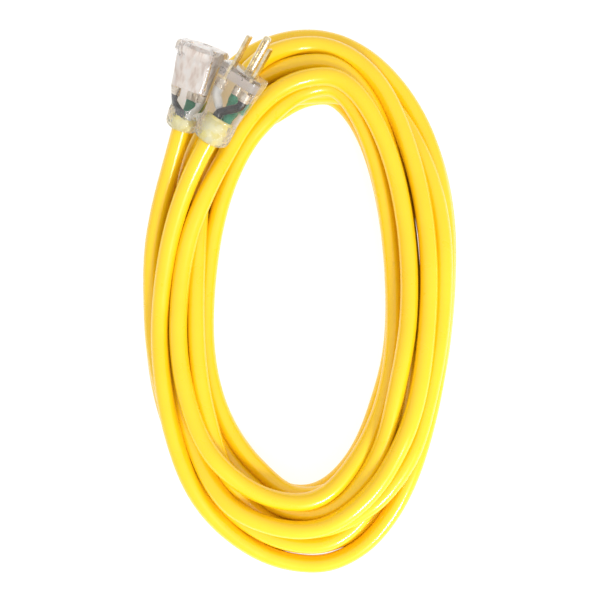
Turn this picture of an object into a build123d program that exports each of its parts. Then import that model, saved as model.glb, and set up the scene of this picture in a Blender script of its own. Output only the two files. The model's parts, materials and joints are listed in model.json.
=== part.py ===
from build123d import *
import math
import os

# Lighted-end extension cord, 12 AWG x 3, lying flat in a loose oval coil.
# Row frame: millimetres, +Z up, origin at the centre of the footprint on the floor, +Y along the coil.
# Each moulded end is modelled in its own frame: origin at the centre of its face, +Z out of the face,
# +Y towards the ground pin or hole, and is then placed on the coil with one Location.

# Cord
CORD_D = 10.4
RUN_SHARE = 0.45

# Coil: the four extreme points of the outer and inner ovals (left, bottom, right, top)
COIL_HEIGHT = 34.0
COIL_EDGE_R = 4.5
COIL_OUTER = [(-94.3, -12.0), (10.0, -163.2), (94.3, 39.0), (3.0, 163.2)]
COIL_INNER = [(-53.4, -15.0), (0.0, -113.3), (52.8, -18.0), (17.0, 119.0)]

# NEMA 5-15 geometry
BLADE_SPACING = 12.7
BLADE_T = 1.52
HOT_BLADE_W = 6.35
NEUTRAL_BLADE_W = 7.94
BLADE_OUT = 17.0
GROUND_OFFSET = 11.9
GROUND_D = 4.75
GROUND_OUT = 20.6
SEAM_W = 0.55
SEAM_DEPTH = 1.2
PIN_ROOT_D = 4.2
PIN_SHOULDER_Z = 0.4
BLADE_Y = -4.5
GROUND_Y = BLADE_Y + GROUND_OFFSET

# Conductors: 12 AWG copper in 0.7 mm of insulation
WIRE_D = 3.7
COPPER_D = 2.3
CRIMP_D = 4.4
LAY_R = 2.5
STUB = 3.0

# Plug (moulded on)
PLUG_FACE = (23.6, 24.6)
PLUG_WAIST = 20.4
PLUG_WAIST_Z = -29.0
PLUG_LENGTH = 43.0
PLUG_BULB_D = 20.4
PLUG_RIM = 3.0
PLUG_CRIMP_Z = (-8.5, -13.5)
PLUG_JACKET_Z = -28.0
BRIDGE_Z = (-2.5, -7.0)

# Connector (moulded on, lighted)
CONN_FLANGE = 26.8
CONN_FLANGE_T = 7.5
CONN_NECK = 23.6
CONN_MIDDLE = (20.0, 23.4)
CONN_MIDDLE_Z = -24.5
CONN_WAIST = 17.8
CONN_WAIST_Z = -34.5
CONN_LENGTH = 47.0
CONN_BULB_D = 18.8
CONN_CRIMP_Z = (-24.0, -28.0)
CONN_JACKET_Z = -39.5
INSERT_Z = (-2.5, -23.4)
SLOT_T = 2.2
HOT_SLOT_W = 7.2
NEUTRAL_SLOT_W = 8.8
GROUND_HOLE_D = 5.2
SLOT_DEPTH = 20.5
LEAF_T = 0.8

# Where the ends lie: centre of the face, the axis out of the face in plan, and its tilt off the floor
PLUG_AT = (-28.4, 121.3, 65.2)
PLUG_HEADING = 33.0
PLUG_TILT = 20.0
CONN_AT = (-51.4, 136.1, 61.4)
CONN_HEADING = 20.0
CONN_TILT = 22.0

# Leads, from the back of a moulded end to the coil: the first run is straight out of the end, the
# points after it are in the row frame, and the last one is inside the coil
FIRST_RUN = 20.0
PLUG_LEAD = [(-72.0, 42.0, 36.5), (-78.2, 13.0, 29.5), (-81.0, -12.0, 24.0)]
CONN_LEAD = [(-79.6, 54.0, 29.5), (-84.4, 26.0, 24.0), (-87.0, 0.5, 19.5)]


def place(at, heading, tilt):
    """Location of a moulded end: heading is clockwise from +Y, tilt lifts the face off the floor."""
    turn = math.radians(heading)
    rise = math.radians(tilt)
    axis = Vector(math.sin(turn) * math.cos(rise), math.cos(turn) * math.cos(rise), math.sin(rise))
    across = Vector(math.cos(turn), -math.sin(turn), 0)
    return Plane(origin=at, x_dir=across, z_dir=axis).location


def bend_radii(points):
    """The largest arc that the two runs at each corner allow."""
    radii = []
    for a, b, c in zip(points, points[1:], points[2:]):
        before = Vector(*b) - Vector(*a)
        after = Vector(*c) - Vector(*b)
        half = math.radians(before.get_angle(after)) / 2
        radii.append(RUN_SHARE * min(before.length, after.length) / math.tan(half))
    return radii


def tube(points, diameter):
    """A round tube along straight runs joined by tangent arcs."""
    path = FilletPolyline(*points, radius=bend_radii(points))
    return sweep(Plane(origin=path @ 0, z_dir=path % 0) * Circle(diameter / 2), path=path), path


def oval(extremes):
    """A face bounded by four quarter ellipses through its left, bottom, right and top points."""
    left, bottom, right, top = extremes
    quarters = [
        (top, right, 0),
        (top, left, 90),
        (bottom, left, 180),
        (bottom, right, 270),
    ]
    edges = []
    for end, side, start in quarters:
        wide = abs(side[0] - end[0])
        high = abs(end[1] - side[1])
        edges.append(EllipticalCenterArc((end[0], side[1]), wide, high, start, arc_size=90))
    return make_face(Curve() + edges)


def cord_coil():
    """The outer shape of the whole coil: an oval ring as wide and as high as the bundle of turns."""
    ring = extrude(oval(COIL_OUTER) - oval(COIL_INNER), COIL_HEIGHT)
    edges = ring.edges().group_by(Axis.Z)
    return fillet(edges[0] + edges[-1], COIL_EDGE_R)


def lead(end, length, route, name):
    """The free stretch of cord from the back of a moulded end down to the flat top of the coil."""
    start = (end * Pos(0, 0, -length)).position
    second = (end * Pos(0, 0, -length - FIRST_RUN)).position
    print(name, "exit", [round(c, 2) for c in start], "second point", [round(c, 2) for c in second])
    points = [tuple(start), tuple(second)] + route
    solid, path = tube(points, CORD_D)
    section = math.pi * CORD_D**2 / 4
    print(name, "arc radii", [round(r, 1) for r in bend_radii(points)])
    print(name, "volume / (section x length)", round(solid.volume / (section * path.length), 4))
    return split(solid, Plane.XY.offset(COIL_HEIGHT), keep=Keep.TOP)


def crimp_barrel(x, y, z_range):
    top, bottom = z_range
    barrel = Pos(x, y, (top + bottom) / 2) * Cylinder(CRIMP_D / 2, top - bottom)
    bore = Pos(x, y, (top + bottom) / 2) * Cylinder(COPPER_D / 2, top - bottom)
    dimple = Pos(x, y - CRIMP_D / 2, (top + bottom) / 2) * Box(1.6, 0.9, 1.8)
    return barrel - bore - dimple


def copper_end(x, y, z_range):
    top, bottom = z_range
    return Pos(x, y, (top + bottom) / 2) * Cylinder(COPPER_D / 2, top - bottom)


def lay_point(angle):
    """Where a conductor leaves the jacket: three conductors laid round the cord's axis."""
    turn = math.radians(angle)
    return LAY_R * math.cos(turn), LAY_R * math.sin(turn)


def conductor(x, y, top, bottom, angle):
    """One insulated conductor, in a lazy S from its crimp to its place in the cord's lay."""
    end_x, end_y = lay_point(angle)
    points = [(x, y, top), (x, y, top - STUB), (end_x, end_y, bottom + STUB), (end_x, end_y, bottom)]
    return tube(points, WIRE_D)[0]


def jacket_end(top, bottom):
    """The stripped end of the cord's jacket inside a moulded end."""
    return Pos(0, 0, (top + bottom) / 2) * Cylinder(CORD_D / 2, top - bottom)


# ---------------------------------------------------------------- plug


def blade(side, width):
    """A flat blade with a chamfered tip, running back through the bridge to a crimp tail."""
    x = side * BLADE_SPACING / 2
    root = BRIDGE_Z[1]
    body = Pos(x, BLADE_Y, (BLADE_OUT + root) / 2) * Box(BLADE_T, width, BLADE_OUT - root)
    body = chamfer(body.faces().sort_by(Axis.Z)[-1].edges(), 0.45)
    tail = Pos(x, BLADE_Y, (root + PLUG_CRIMP_Z[0]) / 2) * Box(BLADE_T, 3.4, root - PLUG_CRIMP_Z[0])
    return body + tail


def ground_pin():
    """A rolled ground pin: round nose, seam on the blade side, a narrower root and a crimp tail."""
    root = BRIDGE_Z[1]
    shank = Pos(0, GROUND_Y, (GROUND_OUT + PIN_SHOULDER_Z) / 2) * Cylinder(GROUND_D / 2, GROUND_OUT - PIN_SHOULDER_Z)
    shank = fillet(shank.faces().sort_by(Axis.Z)[-1].edges(), 1.9)
    neck = Pos(0, GROUND_Y, (PIN_SHOULDER_Z + root) / 2) * Cylinder(PIN_ROOT_D / 2, PIN_SHOULDER_Z - root)
    pin = shank + neck
    seam_y = GROUND_Y - GROUND_D / 2 + SEAM_DEPTH / 2
    seam = Pos(0, seam_y, GROUND_OUT / 2 - 1) * Box(SEAM_W, SEAM_DEPTH, GROUND_OUT - 4)
    tail = Pos(0, GROUND_Y, (root + PLUG_CRIMP_Z[0]) / 2) * Box(3.4, BLADE_T, root - PLUG_CRIMP_Z[0])
    return pin - seam + tail


def bridge():
    """The stiff inner block that holds the three pins at their spacing while the plug is moulded."""
    top, bottom = BRIDGE_Z
    block = extrude(Plane.XY.offset(bottom) * Pos(0, 1.2) * RectangleRounded(19.5, 19.0, 4), top - bottom)
    web = Pos(0, 1.2, top - 0.6) * Box(7.6, 9.0, 1.2)
    return block - web


def plug_shell():
    """The clear moulded body before anything inside it is cut away."""
    face = RectangleRounded(*PLUG_FACE, 5.0)
    rim = Plane.XY.offset(-PLUG_RIM) * RectangleRounded(*PLUG_FACE, 5.0)
    waist = Plane.XY.offset(PLUG_WAIST_Z) * RectangleRounded(PLUG_WAIST, PLUG_WAIST, PLUG_WAIST / 2 - 0.4)
    front = extrude(face, -PLUG_RIM)
    middle = loft([rim, waist])
    bulb_z = (PLUG_WAIST_Z - PLUG_LENGTH) / 2
    bulb = Pos(0, 0, bulb_z) * Cylinder(PLUG_BULB_D / 2, PLUG_LENGTH + PLUG_WAIST_Z)
    bulb = fillet(bulb.edges().filter_by(GeomType.CIRCLE).sort_by(Axis.Z)[0], 4.0)
    bulb = fillet(bulb.edges().filter_by(GeomType.CIRCLE).sort_by(Axis.Z)[-1], 1.2)
    return front + middle + bulb


def plug_parts():
    hot_x = BLADE_SPACING / 2
    bottom = PLUG_CRIMP_Z[1]
    ends = [(hot_x, BLADE_Y), (-hot_x, BLADE_Y), (0, GROUND_Y)]
    parts = {
        "plug_hot_blade": blade(1, HOT_BLADE_W),
        "plug_neutral_blade": blade(-1, NEUTRAL_BLADE_W),
        "plug_ground_pin": ground_pin(),
    }
    parts["plug_bridge"] = bridge() - list(parts.values())
    for name, (x, y) in zip(["hot", "neutral", "ground"], ends):
        parts[f"plug_{name}_crimp"] = crimp_barrel(x, y, PLUG_CRIMP_Z)
    parts["plug_copper_ends"] = Compound([copper_end(x, y, PLUG_CRIMP_Z) for x, y in ends])
    for name, (x, y), angle in zip(["hot", "neutral", "ground"], ends, [240, 120, 0]):
        parts[f"plug_{name}_conductor"] = conductor(x, y, bottom, PLUG_JACKET_Z, angle)
    parts["plug_jacket_end"] = jacket_end(PLUG_JACKET_Z, -PLUG_LENGTH)
    parts["plug_body"] = plug_shell() - list(parts.values())
    return parts


# ----------------------------------------------------------- connector


def octagon(size, corner):
    half = size / 2
    cut = half - corner
    points = [
        (half, cut),
        (cut, half),
        (-cut, half),
        (-half, cut),
        (-half, -cut),
        (-cut, -half),
        (cut, -half),
        (half, -cut),
    ]
    return make_face(Polyline(*points, close=True))


def connector_shell():
    """The clear moulded body: an eight-sided flange, a tapering grip and a round strain relief."""
    flange = extrude(octagon(CONN_FLANGE, 7.5), -CONN_FLANGE_T)
    flange = chamfer(flange.faces().sort_by(Axis.Z)[0].edges(), 1.2)
    neck = Plane.XY.offset(-CONN_FLANGE_T) * RectangleRounded(CONN_NECK, CONN_NECK, 7.0)
    middle = Plane.XY.offset(CONN_MIDDLE_Z) * RectangleRounded(*CONN_MIDDLE, 5.0)
    waist = Plane.XY.offset(CONN_WAIST_Z) * RectangleRounded(CONN_WAIST, CONN_WAIST, CONN_WAIST / 2 - 0.4)
    bulb_z = (CONN_WAIST_Z - CONN_LENGTH) / 2
    bulb = Pos(0, 0, bulb_z) * Cylinder(CONN_BULB_D / 2, CONN_LENGTH + CONN_WAIST_Z)
    bulb = fillet(bulb.edges().filter_by(GeomType.CIRCLE).sort_by(Axis.Z)[0], 4.0)
    bulb = fillet(bulb.edges().filter_by(GeomType.CIRCLE).sort_by(Axis.Z)[-1], 1.2)
    return flange + loft([neck, middle, waist], ruled=True) + bulb


def socket_openings():
    """The two blade slots and the ground hole, as the solids to cut away."""
    hot_x = -BLADE_SPACING / 2
    middle = -SLOT_DEPTH / 2
    return [
        Pos(hot_x, BLADE_Y, middle) * Box(SLOT_T, HOT_SLOT_W, SLOT_DEPTH),
        Pos(-hot_x, BLADE_Y, middle) * Box(SLOT_T, NEUTRAL_SLOT_W, SLOT_DEPTH),
        Pos(0, GROUND_Y, -(GROUND_OUT + 1.4) / 2) * Cylinder(GROUND_HOLE_D / 2, GROUND_OUT + 1.4),
    ]


def leaf_contact(x, width):
    """A folded brass contact: two leaves either side of a blade slot, joined at the back."""
    top = INSERT_Z[0] - 2.5
    back = -SLOT_DEPTH
    gap = SLOT_T / 2
    parts = []
    for side in (-1, 1):
        leaf_x = x + side * (gap + LEAF_T / 2)
        parts.append(Pos(leaf_x, BLADE_Y, (top + back) / 2) * Box(LEAF_T, width, top - back))
    web = Pos(x, BLADE_Y, back - LEAF_T / 2) * Box(SLOT_T + 2 * LEAF_T, width, LEAF_T)
    tail_top = back - LEAF_T
    tail = Pos(x, BLADE_Y, (tail_top + CONN_CRIMP_Z[0]) / 2) * Box(LEAF_T, 3.4, tail_top - CONN_CRIMP_Z[0])
    return parts[0] + parts[1] + web + tail


def ground_contact():
    """A round split sleeve behind the ground hole, with a tail to its crimp."""
    top = INSERT_Z[0] - 2.5
    back = -(GROUND_OUT + 1.4)
    outer = GROUND_HOLE_D / 2 + LEAF_T
    sleeve = Pos(0, GROUND_Y, (top + back) / 2) * Cylinder(outer, top - back)
    bore = Pos(0, GROUND_Y, (top + back) / 2) * Cylinder(GROUND_HOLE_D / 2, top - back)
    split = Pos(0, GROUND_Y + outer, (top + back) / 2) * Box(0.8, 2 * LEAF_T + 0.6, top - back)
    cap = Pos(0, GROUND_Y, back - LEAF_T / 2) * Cylinder(outer, LEAF_T)
    tail_top = back - LEAF_T
    tail = Pos(0, GROUND_Y, (tail_top + CONN_CRIMP_Z[0]) / 2) * Box(3.4, LEAF_T, tail_top - CONN_CRIMP_Z[0])
    return sleeve - bore - split + cap + tail


def insert(contacts, lamp_parts):
    """The stiff inner block that holds the three contacts and the lamp."""
    top, bottom = INSERT_Z
    block = extrude(Plane.XY.offset(bottom) * Pos(0, 0.6) * RectangleRounded(18.6, 20.4, 4.0), top - bottom)
    return block - socket_openings() - contacts - lamp_parts


def lamp():
    """The neon pilot lamp: its glass, its two electrodes with leads, and its series resistor."""
    glass_y = -BLADE_SPACING / 2 + 4.0
    glass = Pos(0, glass_y, -9.5) * Cylinder(2.0, 8.0)
    glass = fillet(glass.edges().filter_by(GeomType.CIRCLE), 0.9)
    leads = []
    for side in (-1, 1):
        electrode = Pos(side * 0.7, glass_y, -9.6) * Cylinder(0.35, 5.0)
        leg = Pos(side * 0.7, glass_y, -14.6) * Cylinder(0.25, 5.0)
        leads.append(electrode + leg)
    resistor = Pos(0.7, glass_y, -19.7) * Cylinder(0.95, 5.2)
    resistor = fillet(resistor.edges().filter_by(GeomType.CIRCLE), 0.35)
    return {
        "connector_lamp_glass": glass - leads,
        "connector_lamp_leads": Compound(leads),
        "connector_lamp_resistor": resistor,
    }


def connector_parts():
    hot_x = -BLADE_SPACING / 2
    bottom = CONN_CRIMP_Z[1]
    ends = [(hot_x, BLADE_Y), (-hot_x, BLADE_Y), (0, GROUND_Y)]
    parts = {
        "connector_hot_contact": leaf_contact(hot_x, HOT_SLOT_W - 0.4),
        "connector_neutral_contact": leaf_contact(-hot_x, NEUTRAL_SLOT_W - 0.4),
        "connector_ground_contact": ground_contact(),
    }
    contacts = list(parts.values())
    parts.update(lamp())
    lamp_parts = [parts[name] for name in parts if "lamp" in name]
    parts["connector_insert"] = insert(contacts, lamp_parts)
    for name, (x, y) in zip(["hot", "neutral", "ground"], ends):
        parts[f"connector_{name}_crimp"] = crimp_barrel(x, y, CONN_CRIMP_Z)
    parts["connector_copper_ends"] = Compound([copper_end(x, y, CONN_CRIMP_Z) for x, y in ends])
    for name, (x, y), angle in zip(["hot", "neutral", "ground"], ends, [210, 330, 90]):
        parts[f"connector_{name}_conductor"] = conductor(x, y, bottom, CONN_JACKET_Z, angle)
    parts["connector_jacket_end"] = jacket_end(CONN_JACKET_Z, -CONN_LENGTH)
    parts["connector_body"] = connector_shell() - socket_openings() - list(parts.values())
    return parts


def build():
    plug_end = place(PLUG_AT, PLUG_HEADING, PLUG_TILT)
    connector_end = place(CONN_AT, CONN_HEADING, CONN_TILT)
    parts = {
        "cord_coil": cord_coil(),
        "plug_lead": lead(plug_end, PLUG_LENGTH, PLUG_LEAD, "plug_lead"),
        "connector_lead": lead(connector_end, CONN_LENGTH, CONN_LEAD, "connector_lead"),
    }
    for name, shape in plug_parts().items():
        parts[name] = plug_end * shape
    for name, shape in connector_parts().items():
        parts[name] = connector_end * shape
    return parts


os.makedirs("parts", exist_ok=True)
for name, shape in build().items():
    export_step(shape, f"parts/{name}.step")
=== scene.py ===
import json
import math

import bmesh
import bpy
import numpy as np
from mathutils import Matrix, Vector


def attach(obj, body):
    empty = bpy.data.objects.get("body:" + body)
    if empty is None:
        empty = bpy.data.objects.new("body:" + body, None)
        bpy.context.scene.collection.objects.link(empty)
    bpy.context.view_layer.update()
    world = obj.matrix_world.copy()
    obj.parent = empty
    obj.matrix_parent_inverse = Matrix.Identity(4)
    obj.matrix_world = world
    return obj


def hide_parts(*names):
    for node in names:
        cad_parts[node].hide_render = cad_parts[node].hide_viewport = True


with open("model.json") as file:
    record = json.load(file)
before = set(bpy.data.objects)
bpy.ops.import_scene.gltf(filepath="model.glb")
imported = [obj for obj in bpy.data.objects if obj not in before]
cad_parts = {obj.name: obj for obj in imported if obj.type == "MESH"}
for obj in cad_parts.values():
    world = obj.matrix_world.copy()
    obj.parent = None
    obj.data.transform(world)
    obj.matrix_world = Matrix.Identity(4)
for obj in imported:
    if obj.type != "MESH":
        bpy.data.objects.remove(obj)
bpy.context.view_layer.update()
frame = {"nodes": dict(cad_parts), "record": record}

MM = 0.001

# ------------------------------------------------------------------ places
# The two moulded ends have the record's mounts on them, so their frames come from there:
# x across the blades, y towards the ground pin or hole, z out of the face, origin on the face.

BLADE_Y = -4.5 * MM
BLADES_OUT = 8.5 * MM
MOUNTS = {m["name"]: m for m in frame["record"]["mounts"]}


def end_frame(blades, ground, blades_out):
    """The matrix of a moulded end, from its blade mount, which lies this far out of the face, and
    its ground mount."""
    axis = Vector(MOUNTS[blades]["axis"]).normalized()
    centre = Vector(MOUNTS[blades]["pos_m"])
    to_ground = Vector(MOUNTS[ground]["pos_m"]) - centre
    down = (to_ground - axis * to_ground.dot(axis)).normalized()
    across = down.cross(axis)
    origin = centre - down * BLADE_Y - axis * blades_out
    turn = Matrix((across, down, axis)).transposed().to_4x4()
    return Matrix.Translation(origin) @ turn


PLUG = end_frame("plug_blades", "plug_ground_pin", BLADES_OUT)
CONNECTOR = end_frame("connector_slots", "connector_ground_hole", 0.0)
PLUG_LENGTH = 43.0 * MM
CONNECTOR_LENGTH = 47.0 * MM

# ------------------------------------------------------------------ camera

CAMERA_HEIGHT = 0.480
CAMERA_LENS = 46.9


def make_camera():
    data = bpy.data.cameras.new("camera")
    data.lens = CAMERA_LENS
    data.sensor_width = 36.0
    data.clip_start = 0.01
    camera = bpy.data.objects.new("camera", data)
    camera.location = (0.0, 0.0, CAMERA_HEIGHT)
    bpy.context.collection.objects.link(camera)
    bpy.context.scene.camera = camera


make_camera()

# ------------------------------------------------------------------ cord

CORD_D = 10.4 * MM
CORD_R = CORD_D / 2
FIRST_RUN = 20.0 * MM

# The oval's extreme points on the outer and inner edge of the coil, as in the CAD model (mm)
SIDES = ("left", "bottom", "right", "top")
OUTER = {
    "left": (-94.3, -12.0),
    "bottom": (10.0, -163.2),
    "right": (94.3, 39.0),
    "top": (3.0, 163.2),
}
INNER = {
    "left": (-53.4, -15.0),
    "bottom": (0.0, -113.3),
    "right": (52.8, -18.0),
    "top": (17.0, 119.0),
}
PER_QUARTER = 12

# The free stretches, as in the CAD model (mm)
PLUG_LEAD = [(-72.0, 42.0, 36.5), (-78.2, 13.0, 29.5)]
CONNECTOR_LEAD = [(-79.6, 54.0, 29.5), (-84.4, 26.0, 24.0)]

# Each turn's lane where it passes the left, bottom, right and top of the oval:
# (distance of its centre from the coil's inner edge, height of its centre), in mm
CONNECTOR_TURNS = [
    [(31.8, 15.0), (32.0, 14.6), (13.5, 15.5), (19.0, 28.0)],
    [(13.6, 14.2), (12.3, 20.4), (12.1, 25.2), (8.8, 33.2)],
    [(17.1, 24.5), (4.8, 24.2), (3.9, 15.0), (6.3, 24.2)],
    [(4.2, 15.0), (5.0, 14.6), (24.0, 15.0), (2.5, 14.8)],
    [(25.6, 5.2), (25.2, 5.2), (25.8, 5.2), (27.0, 5.2)],
    [(35.6, 5.2), (35.0, 5.2), (36.3, 5.2), (38.8, 5.2)],
]
PLUG_TURNS = [
    [(27.5, 24.0), (45.3, 5.3), (33.5, 15.0), (36.5, 15.0)],
    [(23.0, 14.2), (19.4, 24.0), (22.3, 26.0), (28.3, 23.6)],
    [(6.7, 24.0), (22.8, 14.0), (31.0, 22.8), (18.0, 14.5)],
    [(15.6, 5.2), (15.1, 5.2), (15.4, 5.2), (16.0, 5.2)],
    [(5.4, 5.2), (5.0, 5.2), (5.2, 5.2), (5.4, 5.2)],
]

# On its way from the top to the left each turn passes over the fold, and moves out and up by
# this much half way (mm)
CONNECTOR_HUMPS = [(9.8, 4.9), (-1.4, 5.3), (0.2, 5.7), (1.7, 15.1), (-3.3, 10.3)]
PLUG_HUMPS = [(8.0, 0.9), (5.0, 10.5), (0.7, 5.6), (-3.7, 10.3)]
NO_HUMP = (0.0, 0.0)

# The fold in the middle of the cord, under the two ends: how far along the last quarter turn its
# legs end
FOLD_SHARE = 0.28
FOLD_CORNERS = 4
FOLD_LEG = 3


def extreme(side, lane):
    """The point of a turn at one side of the oval."""
    inner = Vector(INNER[side])
    outer = Vector(OUTER[side])
    width = (outer - inner)[0 if side in ("left", "right") else 1]
    point = inner + (outer - inner) * (lane[0] / abs(width))
    return np.array((point.x, point.y, lane[1])) * MM


def quarter(start, end, along_y, hump=NO_HUMP):
    """Points of a quarter ellipse from one extreme point to the next, without the last.
    along_y says that the turn runs along Y where it starts, and hump how far it swings out and
    rises half way, on a quarter that starts at the top."""
    span = end - start
    points = []
    for i in range(PER_QUARTER):
        angle = math.pi / 2 * i / PER_QUARTER
        rise = 0.5 - 0.5 * math.cos(2 * angle)
        late, early = 1 - math.cos(angle), math.sin(angle)
        share = (late, early, rise) if along_y else (early, late, rise)
        point = start + span * np.array(share)
        outward = Vector((math.sin(angle) / span[0], -math.cos(angle) / span[1])).normalized()
        swell = math.sin(2 * angle) ** 2 * MM
        point += np.array((outward.x * hump[0], outward.y * hump[0], hump[1])) * swell
        points.append(point)
    return points


def half_cord(exit_point, second, route, turns, humps):
    """Points from one moulded end to where its last turn reaches the top of the oval, and on
    round towards the left as far as the fold."""
    points = [exit_point, second] + [np.array(p) * MM for p in route]
    stations = [(side, lane) for turn in turns for side, lane in zip(SIDES, turn)]
    humps = iter(humps)
    for (side, lane), (after, lane_after) in zip(stations, stations[1:]):
        along_y = side in ("left", "right")
        hump = next(humps) if side == "top" else NO_HUMP
        points += quarter(extreme(side, lane), extreme(after, lane_after), along_y, hump)
    last = turns[-1]
    leg = quarter(extreme("top", last[3]), extreme("left", last[0]), False)
    return points + leg[: int(PER_QUARTER * FOLD_SHARE) + 1]


def fold_points(leg, other_leg):
    """The U at the middle of the cord: the corners of half an octagon round a half circle from
    one leg's end to the other's."""
    middle = (leg[-1] + other_leg[-1]) / 2
    side = leg[-1] - middle
    radius = np.linalg.norm(side)
    side = side / radius
    onward = leg[-1] - leg[-2]
    onward = onward - side * (onward @ side)
    onward = onward / np.linalg.norm(onward)
    step = math.pi / FOLD_CORNERS
    reach = radius / math.cos(step / 2)
    turns = [step * (i + 0.5) for i in range(FOLD_CORNERS)]
    return [middle + reach * (side * math.cos(t) + onward * math.sin(t)) for t in turns]


def cord_line():
    """The cord's centreline before its turns settle against each other."""
    halves = []
    ends = (
        (CONNECTOR, CONNECTOR_LENGTH, CONNECTOR_LEAD, CONNECTOR_TURNS, CONNECTOR_HUMPS),
        (PLUG, PLUG_LENGTH, PLUG_LEAD, PLUG_TURNS, PLUG_HUMPS),
    )
    for matrix, length, route, turns, humps in ends:
        exit_point = np.array(matrix @ Vector((0, 0, -length)))
        second = np.array(matrix @ Vector((0, 0, -length - FIRST_RUN)))
        halves.append(half_cord(exit_point, second, route, turns, humps))
    fold = fold_points(*halves)
    held = range(len(halves[0]) - FOLD_LEG, len(halves[0]) + len(fold) + FOLD_LEG)
    return np.array(halves[0] + fold + halves[1][::-1]), list(held)


# Settling: at each step the runs that overlap are pushed apart, the cord's stiffness spreads each
# push along its length, and the anchor draws the cord back a little. So some overlap is left.
SETTLE_STEPS = 400
LIMP_STEPS = 12
PAIR_STEPS = 10
PAIR_REACH = 1.6
PUSH = 1.2
STIFFNESS = 0.12
ANCHOR = 0.006
CONTACT = 0.94 * CORD_D
SKIP = 4
TINY = 1e-6

# The moulded ends as round blocks (matrix, length, radius), and the points next to each that they
# leave alone
NEXT_TO_BLOCK = 6
BLOCKS = [
    (PLUG, PLUG_LENGTH, 12.6 * MM),
    (CONNECTOR, CONNECTOR_LENGTH, 12.0 * MM),
]


def near_pairs(line, reach):
    """Pairs of runs of the line whose middles are close."""
    middle = (line[1:] + line[:-1]) / 2
    apart = np.linalg.norm(middle[:, None] - middle[None], axis=2)
    first, second = np.where(apart < reach)
    keep = second - first > SKIP
    return first[keep], second[keep]


def closest(p, u, q, v):
    """Where along two runs (start, vector) they come closest, as shares of each."""
    w = p - q
    a, b, c = (u * u).sum(1), (u * v).sum(1), (v * v).sum(1)
    d, e = (u * w).sum(1), (v * w).sum(1)
    s = np.clip((b * e - c * d) / np.maximum(a * c - b * b, 1e-12), 0, 1)
    t = np.clip((b * s + e) / c, 0, 1)
    s = np.clip((b * t - d) / a, 0, 1)
    return s, t


def settle(line, held):
    """Pushes overlapping runs apart, with the held points and the two ends kept where they are.
    The list of close pairs is made anew every few steps, and the last steps leave the stiffness
    out."""
    rest = line.copy()
    move = np.zeros_like(line)
    fixed = np.zeros(len(line), bool)
    fixed[:2] = fixed[-2:] = fixed[held] = True
    longest = np.linalg.norm(np.diff(line, axis=0), axis=1).max()
    for step in range(SETTLE_STEPS):
        now = rest + move
        if step % PAIR_STEPS == 0:
            i, j = near_pairs(now, CORD_D + longest * PAIR_REACH)
        u, v = now[i + 1] - now[i], now[j + 1] - now[j]
        s, t = closest(now[i], u, now[j], v)
        gap = now[j] + v * t[:, None] - now[i] - u * s[:, None]
        apart = np.linalg.norm(gap, axis=1)
        deep = np.maximum(CONTACT - apart, 0)
        push = gap / np.maximum(apart, TINY)[:, None] * (deep * 0.5)[:, None]
        shift = np.zeros_like(line)
        weight = np.zeros(len(line))
        for index, share, sign in ((i, 1 - s, -1), (i + 1, s, -1), (j, 1 - t, 1), (j + 1, t, 1)):
            np.add.at(shift, index, sign * push * share[:, None])
            np.add.at(weight, index, (deep > 0) * share)
        move += shift / np.maximum(weight, 1.0)[:, None] * PUSH
        for matrix, length, radius in BLOCKS:
            move += off_block(rest + move, matrix, length, radius)
        if step < SETTLE_STEPS - LIMP_STEPS:
            move[1:-1] += STIFFNESS * ((move[:-2] + move[2:]) / 2 - move[1:-1])
        move *= 1 - ANCHOR
        move[:, 2] = np.maximum(rest[:, 2] + move[:, 2], CORD_R) - rest[:, 2]
        move[fixed] = 0
    return rest + move


def off_block(line, matrix, length, radius):
    """How far each point has to move down and away to clear one of the moulded ends."""
    start = np.array(matrix @ Vector((0, 0, -length)))
    axis = np.array(matrix.col[2][:3])
    along = np.clip((line - start) @ axis, 0, length)
    off = line - start - along[:, None] * axis
    apart = np.linalg.norm(off, axis=1)
    deep = np.maximum(radius + CORD_R - apart, 0)
    deep[:NEXT_TO_BLOCK] = deep[-NEXT_TO_BLOCK:] = 0
    push = off / np.maximum(apart, TINY)[:, None]
    push[:, 2] = -np.abs(push[:, 2])
    return push * (deep * 0.5)[:, None]


def overlap_report(line):
    """Prints the cord's length, its highest point and how far its runs sink into each other."""
    i, j = near_pairs(line, CORD_D * 3)
    u, v = line[i + 1] - line[i], line[j + 1] - line[j]
    s, t = closest(line[i], u, line[j], v)
    apart = np.linalg.norm(line[j] + v * t[:, None] - line[i] - u * s[:, None], axis=1)
    length = np.linalg.norm(np.diff(line, axis=0), axis=1).sum()
    print("cord: length", round(length, 3), "m; highest", round(line[:, 2].max() / MM, 1), "mm")
    print("runs overlap by up to", round((CORD_D - apart.min()) / MM, 2), "mm")
    print("pairs over 0.5 mm:", int((apart < CORD_D - 0.5 * MM).sum()))


def cord_curve(name, line, radius):
    """A smooth round tube near the line's points."""
    data = bpy.data.curves.new(name, "CURVE")
    data.dimensions = "3D"
    data.bevel_depth = 1.0
    data.bevel_resolution = 7
    data.resolution_u = 4
    data.use_fill_caps = True
    spline = data.splines.new("NURBS")
    spline.points.add(len(line) - 1)
    for point, place in zip(spline.points, line):
        point.co = (*place, 1.0)
        point.radius = radius
    spline.order_u = 3
    spline.use_endpoint_u = True
    spline.resolution_u = 4
    obj = bpy.data.objects.new(name, data)
    bpy.context.collection.objects.link(obj)
    return obj


line = settle(*cord_line())
overlap_report(line)
cord = cord_curve("cord", line, CORD_R)
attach(cord, "root")
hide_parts("cord_coil", "plug_lead", "connector_lead")

# --------------------------------------------------------------- materials


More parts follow.
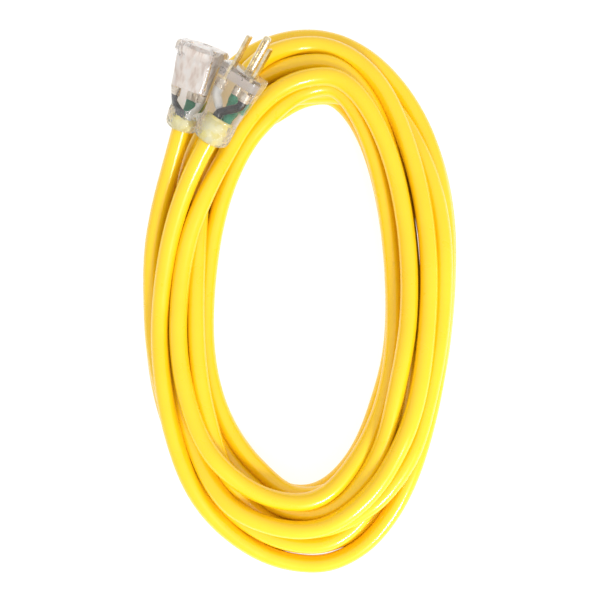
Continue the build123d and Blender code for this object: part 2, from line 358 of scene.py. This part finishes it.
class Nodes:
    """A material's node tree, with short calls for the nodes used here. Textures run in the
    object's own metres."""

    def __init__(self, name):
        self.material = bpy.data.materials.new(name)
        self.material.use_nodes = True
        self.tree = self.material.node_tree
        self.shader = self.tree.nodes["Principled BSDF"]
        self.place = self.add("ShaderNodeTexCoord").outputs["Object"]

    def add(self, kind, **values):
        node = self.tree.nodes.new(kind)
        for key, value in values.items():
            setattr(node, key, value)
        return node

    def link(self, source, target):
        self.tree.links.new(source, target)

    def noise(self, size, detail=3.0, stretch=(1, 1, 1), heading=0.0):
        """Noise with features of this size in metres, drawn out this many times along axes
        turned clockwise by the heading in degrees."""
        mapping = self.add("ShaderNodeMapping", vector_type="TEXTURE")
        mapping.inputs["Scale"].default_value = stretch
        mapping.inputs["Rotation"].default_value = (0, 0, -math.radians(heading))
        self.link(self.place, mapping.inputs["Vector"])
        texture = self.add("ShaderNodeTexNoise")
        texture.inputs["Scale"].default_value = 1 / size
        texture.inputs["Detail"].default_value = detail
        self.link(mapping.outputs["Vector"], texture.inputs["Vector"])
        return texture.outputs["Fac"]

    def ramp(self, source, stops):
        ramp = self.add("ShaderNodeValToRGB")
        first, last = ramp.color_ramp.elements
        first.position, last.position = stops[0][0], stops[-1][0]
        first.color, last.color = (*stops[0][1], 1), (*stops[-1][1], 1)
        for position, color in stops[1:-1]:
            ramp.color_ramp.elements.new(position).color = (*color, 1)
        self.link(source, ramp.inputs["Fac"])
        return ramp.outputs["Color"]

    def spread(self, source, low, high):
        """The source's 0.3 to 0.7, where noise mostly lies, spread from low to high."""
        node = self.add("ShaderNodeMapRange")
        limits = {"From Min": 0.3, "From Max": 0.7, "To Min": low, "To Max": high}
        for name, value in limits.items():
            node.inputs[name].default_value = value
        self.link(source, node.inputs["Value"])
        return node.outputs["Result"]

    def bump(self, source, depth, under=None):
        node = self.add("ShaderNodeBump")
        node.inputs["Strength"].default_value = 1.0
        node.inputs["Distance"].default_value = depth
        self.link(source, node.inputs["Height"])
        if under:
            self.link(under, node.inputs["Normal"])
        return node.outputs["Normal"]

    def finish(self, color=None, rough=None, normal=None, **constants):
        for socket, source in (("Base Color", color), ("Roughness", rough), ("Normal", normal)):
            if source is not None:
                self.link(source, self.shader.inputs[socket])
        for name, value in constants.items():
            self.shader.inputs[name.replace("_", " ")].default_value = value
        return self.material


def mottled(name, dark, light, size, rough, bump_size, bump_depth, **constants):
    """A moulded or drawn surface: a colour that wanders between two shades, a roughness that
    wanders with it, and fine bumps."""
    nodes = Nodes(name)
    color = nodes.ramp(nodes.noise(size), [(0.32, dark), (0.68, light)])
    roughness = nodes.spread(nodes.noise(size * 0.4), *rough)
    normal = nodes.bump(nodes.noise(bump_size), bump_depth)
    return nodes.finish(color, roughness, normal, **constants)


def cord_material():
    """Glossy PVC jacket: a warm yellow, with the faint waves of the conductors laid under it."""
    nodes = Nodes("cord_yellow")
    shades = [(0.3, (0.93, 0.580, 0.005)), (0.7, (0.97, 0.630, 0.009))]
    color = nodes.ramp(nodes.noise(0.045), shades)
    rough = nodes.spread(nodes.noise(0.012), 0.26, 0.36)
    waves = nodes.bump(nodes.noise(0.016, detail=1.0), 0.00035)
    normal = nodes.bump(nodes.noise(0.0012), 0.00001, under=waves)
    gloss = {"Coat_Weight": 0.60, "Coat_Roughness": 0.09, "Specular_IOR_Level": 0.35}
    return nodes.finish(color, rough, normal, **gloss)


def insulation(name, dark, light):
    """A conductor's semi-gloss insulation."""
    return mottled(name, dark, light, 0.004, (0.25, 0.4), 0.0012, 0.00004)


def clear_material(name, tint, rough, bump_depth, transmission, ior=1.49, wave=0.0045):
    """Clear moulded plastic, with waves of this size and depth in its surface and a faint haze."""
    nodes = Nodes(name)
    shade = tuple(c * 0.97 for c in tint)
    color = nodes.ramp(nodes.noise(0.006), [(0.35, shade), (0.65, tint)])
    roughness = nodes.spread(nodes.noise(0.004), rough, rough * 2.0)
    normal = nodes.bump(nodes.noise(wave, detail=2.0), bump_depth)
    return nodes.finish(color, roughness, normal, Transmission_Weight=transmission, IOR=ior)


def insert_material():
    """The connector's inner block: pale beige plastic, with paler and darker stripes that run
    lengthwise."""
    nodes = Nodes("inner_block")
    stripes = nodes.noise(0.0022, detail=1.0, stretch=(1, 9, 1), heading=20)
    shades = [(0.34, (0.80, 0.68, 0.60)), (0.5, (0.96, 0.88, 0.81)), (0.66, (1.0, 0.96, 0.92))]
    color = nodes.ramp(stripes, shades)
    roughness = nodes.spread(nodes.noise(0.004), 0.25, 0.4)
    return nodes.finish(color, roughness, nodes.bump(stripes, 0.0002))


def metal(name, dark, light, rough):
    """Drawn sheet metal: fine lines along it, and duller patches."""
    nodes = Nodes(name)
    color = nodes.ramp(nodes.noise(0.003), [(0.35, dark), (0.65, light)])
    roughness = nodes.spread(nodes.noise(0.0012), *rough)
    normal = nodes.bump(nodes.noise(0.0006, stretch=(1, 6, 1), heading=33), 0.00002)
    return nodes.finish(color, roughness, normal, Metallic=1.0)


def strands(name, dark, light):
    """Bare stranded copper, as fine ridges round the bundle, with painted shade that darkens the
    hollows between them.
    """
    nodes = Nodes(name)
    ridges = nodes.noise(0.00045, detail=0.0)
    # The colour follows the ridges: the dark colour in their hollows is painted shade.
    color = nodes.ramp(ridges, [(0.3, dark), (0.6, light)])
    normal = nodes.bump(ridges, 0.00012)
    return nodes.finish(color, None, normal, Metallic=1.0, Roughness=0.3)


CLEAR = clear_material("clear_plastic", (0.99, 0.965, 0.955), 0.04, 0.00015, 0.97)
RIPPLED = clear_material(
    "clear_rippled", (0.95, 0.95, 0.96), 0.04, 0.0022, 0.88, ior=1.38, wave=0.0028
)
FROSTED = clear_material("clear_frosted", (1.0, 0.98, 0.97), 0.45, 0.00015, 0.50)
MILKY = clear_material("inner_milky", (1.0, 0.94, 0.91), 0.25, 0.00008, 0.55)
INSERT = insert_material()
LAMP_GLASS = clear_material("lamp_glass", (0.97, 0.95, 0.93), 0.02, 0.00001, 1.0)
CORD_YELLOW = cord_material()
JACKET = mottled(
    "jacket_end", (0.90, 0.76, 0.13), (0.96, 0.90, 0.50), 0.004, (0.35, 0.5), 0.002, 0.0003
)
BLADE = metal("blade_brass", (0.62, 0.50, 0.32), (0.86, 0.75, 0.52), (0.16, 0.30))
CONTACT_BRASS = metal("contact_brass", (0.70, 0.50, 0.24), (0.82, 0.64, 0.34), (0.20, 0.35))
CRIMP = metal("crimp_metal", (0.60, 0.52, 0.42), (0.80, 0.74, 0.64), (0.22, 0.38))
# The copper's dark colour is painted shade in the hollows between the strands.
COPPER = strands("copper", (0.42, 0.18, 0.09), (0.90, 0.50, 0.30))
LAMP_METAL = metal("lamp_metal", (0.50, 0.50, 0.50), (0.70, 0.70, 0.70), (0.25, 0.4))
RESISTOR = mottled(
    "resistor_body", (0.55, 0.42, 0.27), (0.66, 0.52, 0.35), 0.002, (0.4, 0.6), 0.0008, 0.00004
)
BLACK = insulation("insulation_black", (0.012, 0.012, 0.014), (0.028, 0.027, 0.030))
WHITE = insulation("insulation_white", (0.82, 0.82, 0.80), (0.90, 0.90, 0.88))
GREEN = insulation("insulation_green", (0.015, 0.24, 0.12), (0.03, 0.33, 0.18))

# By how the CAD node's name ends
NODE_MATERIALS = {
    "blade": BLADE,
    "pin": BLADE,
    "bridge": MILKY,
    "crimp": CRIMP,
    "ends": COPPER,
    "hot_conductor": BLACK,
    "neutral_conductor": WHITE,
    "ground_conductor": GREEN,
    "jacket_end": JACKET,
    "contact": CONTACT_BRASS,
    "insert": INSERT,
    "glass": LAMP_GLASS,
    "leads": LAMP_METAL,
    "resistor": RESISTOR,
}


def dress_nodes():
    """Gives each CAD node that stays in view the material of its kind."""
    for name, node in frame["nodes"].items():
        for ending, material in NODE_MATERIALS.items():
            if name.endswith(ending):
                node.data.materials.clear()
                node.data.materials.append(material)


dress_nodes()
cord.data.materials.append(CORD_YELLOW)

# ------------------------------------------------------------- clear ends
# Each moulded end is one outer skin of clear plastic, so that light bends once on its way in,
# and what is inside looks as if it is set in the plastic.

# How finely the rings are drawn
CORNER_STEPS = 8
OCTAGON_STEPS = 9
RING_POINTS = 8 * OCTAGON_STEPS
ROUND_STEPS = 32
BULB_STEPS = 8

# The angle at which even_ring starts, close to that of an octagon ring's first corner
RING_START = math.atan2(-0.5, 1.2)

# A face whose normal's y is over this counts as the underside of a moulded end
UNDERSIDE = 0.35

# The cross product of two lines that count as parallel, and the step (mm) between two rings that
# would otherwise lie at one height
PARALLEL = 1e-9
HAIR = 0.0001

# A round section's corner radius, as a share of its half width: just short of it, so that no two
# points of a ring meet
ROUND_SHARE = 0.999


def rounded_ring(half_x, half_y, radius, z):
    """Points round a rectangle with rounded corners."""
    points = []
    for corner, (sx, sy) in enumerate(((1, 1), (-1, 1), (-1, -1), (1, -1))):
        for i in range(CORNER_STEPS + 1):
            angle = math.pi / 2 * (corner + i / CORNER_STEPS)
            x = sx * (half_x - radius) + radius * math.cos(angle)
            y = sy * (half_y - radius) + radius * math.sin(angle)
            points.append((x, y, z))
    return points


def octagon_ring(half, corner, dip, z):
    """Points round an eight-sided outline whose sides are drawn in by dip half way along."""
    cut_to = half - corner
    corners = [
        (half, -cut_to),
        (half, cut_to),
        (cut_to, half),
        (-cut_to, half),
        (-half, cut_to),
        (-half, -cut_to),
        (-cut_to, -half),
        (cut_to, -half),
    ]
    points = []
    for (x0, y0), (x1, y1) in zip(corners, corners[1:] + corners[:1]):
        length = math.hypot(x1 - x0, y1 - y0)
        out_x, out_y = (y1 - y0) / length, (x0 - x1) / length
        for i in range(OCTAGON_STEPS):
            share = i / OCTAGON_STEPS
            pull = dip * math.sin(math.pi * share) ** 2
            x = x0 + (x1 - x0) * share - out_x * pull
            y = y0 + (y1 - y0) * share - out_y * pull
            points.append((x, y, z))
    return points


def even_ring(half_x, half_y, radius, z):
    """A rounded rectangle with as many points as an octagon ring, starting at its lower right."""
    outline = [Vector(p) for p in rounded_ring(half_x, half_y, radius, z)]
    angles = [RING_START + 2 * math.pi * i / RING_POINTS for i in range(RING_POINTS)]
    return [on_outline(outline, angle, z) for angle in angles]


def on_outline(outline, angle, z):
    """Where a ray from the middle at this angle meets the outline."""
    ray = Vector((math.cos(angle), math.sin(angle)))
    for a, b in zip(outline, outline[1:] + outline[:1]):
        side = b.xy - a.xy
        cross = ray.x * side.y - ray.y * side.x
        if abs(cross) < PARALLEL:
            continue
        reach = (a.x * side.y - a.y * side.x) / cross
        share = (a.x * ray.y - a.y * ray.x) / cross
        if reach > 0 and -TINY <= share <= 1 + TINY:
            return (ray.x * reach, ray.y * reach, z)
    raise ValueError("the ray misses the outline")


def box_ring(x, y, wide, high, z):
    corners = ((-1, -1), (1, -1), (1, 1), (-1, 1))
    return [(x + sx * wide / 2, y + sy * high / 2, z) for sx, sy in corners]


def round_ring(x, y, radius, z):
    turns = [2 * math.pi * i / ROUND_STEPS for i in range(ROUND_STEPS)]
    return [(x + radius * math.cos(t), y + radius * math.sin(t), z) for t in turns]


def closed_mesh(name, rings):
    """A mesh through rings of points (mm), flat at both ends."""
    mesh = bmesh.new()
    loops = [[mesh.verts.new(Vector(p) * MM) for p in ring] for ring in rings]
    for near, far in zip(loops, loops[1:]):
        for i in range(len(near)):
            mesh.faces.new((near[i - 1], near[i], far[i], far[i - 1]))
    mesh.faces.new(loops[0])
    mesh.faces.new(loops[-1][::-1])
    bmesh.ops.recalc_face_normals(mesh, faces=mesh.faces)
    data = bpy.data.meshes.new(name)
    mesh.to_mesh(data)
    mesh.free()
    return data


def cut(obj, cutters):
    """Cuts prisms, given as lists of rings, out of an object."""
    for rings in cutters:
        tool = bpy.data.objects.new("cutter", closed_mesh("cutter", rings))
        bpy.context.collection.objects.link(tool)
        modifier = obj.modifiers.new("cut", "BOOLEAN")
        modifier.object = tool
        modifier.operation = "DIFFERENCE"
        modifier.solver = "EXACT"
        evaluated = obj.evaluated_get(bpy.context.evaluated_depsgraph_get())
        result = bpy.data.meshes.new_from_object(evaluated)
        obj.modifiers.clear()
        obj.data = result
        bpy.data.objects.remove(tool)


def skin(name, matrix, rings, smooth_angle, relief, cutters=()):
    """A closed skin through rings of points, in a moulded end's own frame (mm): frosted
    underneath, where it lies on the coil, and rippled behind the start of the strain relief."""
    obj = bpy.data.objects.new(name, closed_mesh(name, rings))
    bpy.context.collection.objects.link(obj)
    cut(obj, cutters)
    obj.data.materials.clear()
    for material in (CLEAR, FROSTED, RIPPLED):
        obj.data.materials.append(material)
    for face in obj.data.polygons:
        face.use_smooth = True
        under = face.normal.y > UNDERSIDE and face.center.z < 0
        face.material_index = 1 if under else 2 if face.center.z < relief * MM else 0
    obj.data.set_sharp_from_angle(angle=math.radians(smooth_angle))
    obj.data.transform(matrix)
    return obj


# A section is (half width, half depth, corner radius, z), in mm. SWELL is the length over which
# the strain relief swells. The mouth, where the cord comes out, has a radius a little under the
# cord's, and goes this deep into the relief.
SWELL = 3.4
MOUTH = 5.0
MOUTH_DEPTH = 0.6


def between(start, end, steps):
    """Sections on the straight way from one to another, without the last."""
    return [[a + (b - a) * i / steps for a, b in zip(start, end)] for i in range(steps)]


def round_section(radius, z):
    return (radius, radius, radius * ROUND_SHARE, z)


def bulb_sections(waist, radius, corner, start, end):
    """The round strain relief: it swells out of the waist, runs straight, and closes round the
    cord, with a rounded edge."""
    sections = []
    for i in range(1, BULB_STEPS + 1):
        share = i / BULB_STEPS
        swollen = waist + (radius - waist) * (0.5 - 0.5 * math.cos(math.pi * share))
        sections.append(round_section(swollen, start - SWELL * share))
    for i in range(BULB_STEPS + 1):
        angle = math.pi / 2 * i / BULB_STEPS
        edge = radius - corner + corner * math.cos(angle)
        sections.append(round_section(edge, end + corner - corner * math.sin(angle)))
    return sections + [round_section(MOUTH, end), round_section(MOUTH, end + MOUTH_DEPTH)]


# The plug: its face has a rounded edge, and its sides taper from behind the face to the waist
PLUG_FACE = (11.8, 12.3, 4.8)
PLUG_SIDE = (*PLUG_FACE, -3.0)
PLUG_WAIST = (9.95, 9.95, 9.9, -28.2)
PLUG_EDGE = 0.7
PLUG_EDGE_STEPS = 4


def plug_skin():
    wide, deep, radius = PLUG_FACE
    sections = []
    for i in range(PLUG_EDGE_STEPS + 1):
        angle = math.pi / 2 * i / PLUG_EDGE_STEPS
        inset = PLUG_EDGE * (1 - math.sin(angle))
        z = -PLUG_EDGE * (1 - math.cos(angle))
        sections.append((wide - inset, deep - inset, radius - inset * 0.8, z))
    sections += between(PLUG_SIDE, PLUG_WAIST, 9) + [PLUG_WAIST]
    sections += bulb_sections(9.95, 10.4, 4.4, -28.6, -43.0)
    rings = [rounded_ring(*section) for section in sections]
    return skin("plug_clear_body", PLUG, rings, 32.0, -29.0)


# The connector: an eight-sided flange, whose outlines are (half width, corner, dip, z) in mm, and
# a body that goes over from a rounded rectangle to a round waist
FLANGE = [
    (12.1, 6.9, 0.5, 0.0),
    (13.2, 7.4, 0.7, -1.3),
    (13.4, 7.5, 0.75, -1.9),
    (13.4, 7.5, 0.75, -5.2),
    (12.5, 7.2, 0.7, -6.6),
    (11.4, 6.7, 0.4, -7.4),
]
CONNECTOR_NECK = (11.7, 11.8, 6.6, -7.6)
CONNECTOR_MIDDLE = (9.95, 11.7, 5.0, -24.5)
CONNECTOR_WAIST = (8.9, 8.9, 8.5, -34.0)

# The sockets, in mm: (x, height) of each slot, and widths and radii in the face's wall and behind
SLOT_Y = -4.5
SLOTS = [(-6.35, 7.2), (6.35, 8.8)]
SLOT_WIDTHS = (2.2, 2.7)
SLOT_EXTRA = 0.5
SLOT_END = -20.0
GROUND_Y = 7.4
GROUND_RADII = (2.6, 2.9)
GROUND_END = -21.5
ABOVE_FACE = 1.0
FACE_WALL = -2.7


def socket_cutters():
    """The two blade slots and the ground hole, a little wider inside the inner block."""
    tight, loose = SLOT_WIDTHS
    cutters = []
    for x, high in SLOTS:
        cutters.append([
            box_ring(x, SLOT_Y, tight, high, ABOVE_FACE),
            box_ring(x, SLOT_Y, tight, high, FACE_WALL),
            box_ring(x, SLOT_Y, loose, high + SLOT_EXTRA, FACE_WALL - HAIR),
            box_ring(x, SLOT_Y, loose, high + SLOT_EXTRA, SLOT_END),
        ])
    tight, loose = GROUND_RADII
    cutters.append([
        round_ring(0, GROUND_Y, tight, ABOVE_FACE),
        round_ring(0, GROUND_Y, tight, FACE_WALL),
        round_ring(0, GROUND_Y, loose, FACE_WALL - HAIR),
        round_ring(0, GROUND_Y, loose, GROUND_END),
    ])
    return cutters


def connector_skin():
    sections = between(CONNECTOR_NECK, CONNECTOR_MIDDLE, 5)
    sections += between(CONNECTOR_MIDDLE, CONNECTOR_WAIST, 5) + [CONNECTOR_WAIST]
    sections += bulb_sections(8.9, 9.4, 4.2, -34.0, -47.0)
    rings = [octagon_ring(*outline) for outline in FLANGE]
    rings += [even_ring(*section) for section in sections]
    return skin("connector_clear_body", CONNECTOR, rings, 28.0, -34.5, socket_cutters())


plug_body = plug_skin()
connector_body = connector_skin()
for piece, node in ((plug_body, "plug_body"), (connector_body, "connector_body")):
    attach(piece, "root")
    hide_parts(node)

# ------------------------------------------------------------------ light


# The floor lies a little under the cord, in metres
FLOOR_HALF = 3.0
FLOOR_Z = -0.0002


def make_stage():
    """A plain white floor that gives off some light, as on a light table."""
    corners = [(-1, -1), (1, -1), (1, 1), (-1, 1)]
    data = bpy.data.meshes.new("floor")
    places = [(x * FLOOR_HALF, y * FLOOR_HALF, FLOOR_Z) for x, y in corners]
    data.from_pydata(places, [], [range(len(places))])
    floor = bpy.data.objects.new("floor", data)
    bpy.context.collection.objects.link(floor)
    white = (0.38, 0.38, 0.38)
    glow = {"Emission_Color": (1, 1, 1, 1), "Emission_Strength": 0.80}
    material = mottled("floor_white", white, white, 0.2, (0.8, 0.9), 0.01, 0.00001, **glow)
    data.materials.append(material)


def make_key_light():
    """A lamp in front and to the right, for the highlights along the cord."""
    data = bpy.data.lights.new("key", "AREA")
    data.size = 0.35
    data.energy = 13
    light = bpy.data.objects.new("key", data)
    light.location = (0.55, -0.95, 0.85)
    light.rotation_euler = (-light.location).to_track_quat("-Z", "Y").to_euler()
    bpy.context.collection.objects.link(light)


def make_world():
    """Soft light all round, brighter overhead than along the horizon."""
    world = bpy.data.worlds.new("world")
    bpy.context.scene.world = world
    world.use_nodes = True
    tree = world.node_tree
    place = tree.nodes.new("ShaderNodeTexCoord")
    split = tree.nodes.new("ShaderNodeSeparateXYZ")
    ramp = tree.nodes.new("ShaderNodeValToRGB")
    ramp.color_ramp.elements[0].color = (0.68, 0.68, 0.69, 1)
    ramp.color_ramp.elements[1].color = (1.0, 1.0, 1.0, 1)
    ramp.color_ramp.elements[1].position = 0.8
    tree.links.new(place.outputs["Generated"], split.inputs["Vector"])
    tree.links.new(split.outputs["Z"], ramp.inputs["Fac"])
    tree.links.new(ramp.outputs["Color"], tree.nodes["Background"].inputs["Color"])


make_stage()
make_key_light()
make_world()
bpy.context.scene.view_settings.view_transform = "Standard"

bpy.context.view_layer.update()
